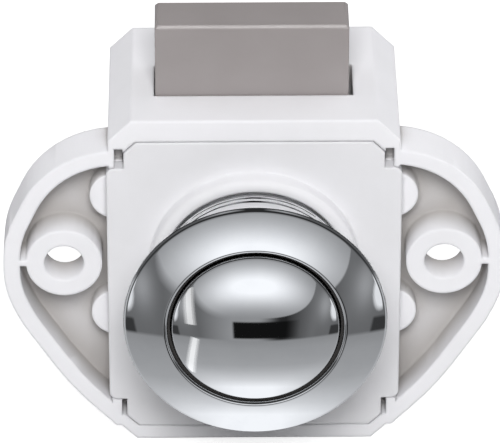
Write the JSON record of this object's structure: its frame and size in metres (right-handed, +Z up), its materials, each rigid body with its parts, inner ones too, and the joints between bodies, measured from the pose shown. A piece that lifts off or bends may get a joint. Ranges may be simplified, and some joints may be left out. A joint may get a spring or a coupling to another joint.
{
  "type": "push button cabinet lock",
  "caption": "Push button cabinet lock with chrome button and rosette, white housing with two screw ears, and a spring bolt that the button draws in.",
  "frame": {"origin": "midway between the two screw holes, on the button's axis, in the plane that lies against the door", "axes": "+X to the right across both screw holes, +Y back into the cabinet, +Z up along the bolt"},
  "size_m": [0.0606, 0.0397, 0.0547],
  "materials": {
    "white_abs": "satin moulded",
    "cover_abs": "satin moulded",
    "bolt_nylon": "satin moulded",
    "plunger_acetal": "smooth moulded",
    "chrome": "bright plated",
    "black_plastic": "smooth",
    "black_rubber": "matte",
    "spring_steel": "drawn wire"
  },
  "bodies": {
    "lock_body": {"housing": "white_abs", "cover_plate": "cover_abs", "guide_sleeve": "chrome", "rosette_ring": "chrome", "guide_bush": "black_plastic", "latch_wire": "spring_steel", "plunger_spring": "spring_steel", "bolt_spring_left": "spring_steel", "bolt_spring_right": "spring_steel"},
    "button": {"button_cap": "chrome", "plunger": "plunger_acetal", "cap_screw": "spring_steel", "bumper_ring": "black_rubber"},
    "latch_bolt": {"bolt": "bolt_nylon", "drive_pin": "spring_steel"}
  },
  "joints": [
    {"name": "button_slide", "type": "slide", "parent": "lock_body", "child": "button", "axis": [0, -1, 0], "range_m": [-0.0008, 0.0096], "deforming": ["plunger_spring", "latch_wire"]},
    {"name": "bolt_slide", "type": "slide", "parent": "lock_body", "child": "latch_bolt", "axis": [0, 0, -1], "range_m": [-0.0008, 0.0096], "deforming": ["bolt_spring_left", "bolt_spring_right"]}
  ],
  "couplings": [
    {"joint": "bolt_slide", "follows": "button_slide", "ratio": 1}
  ]
}
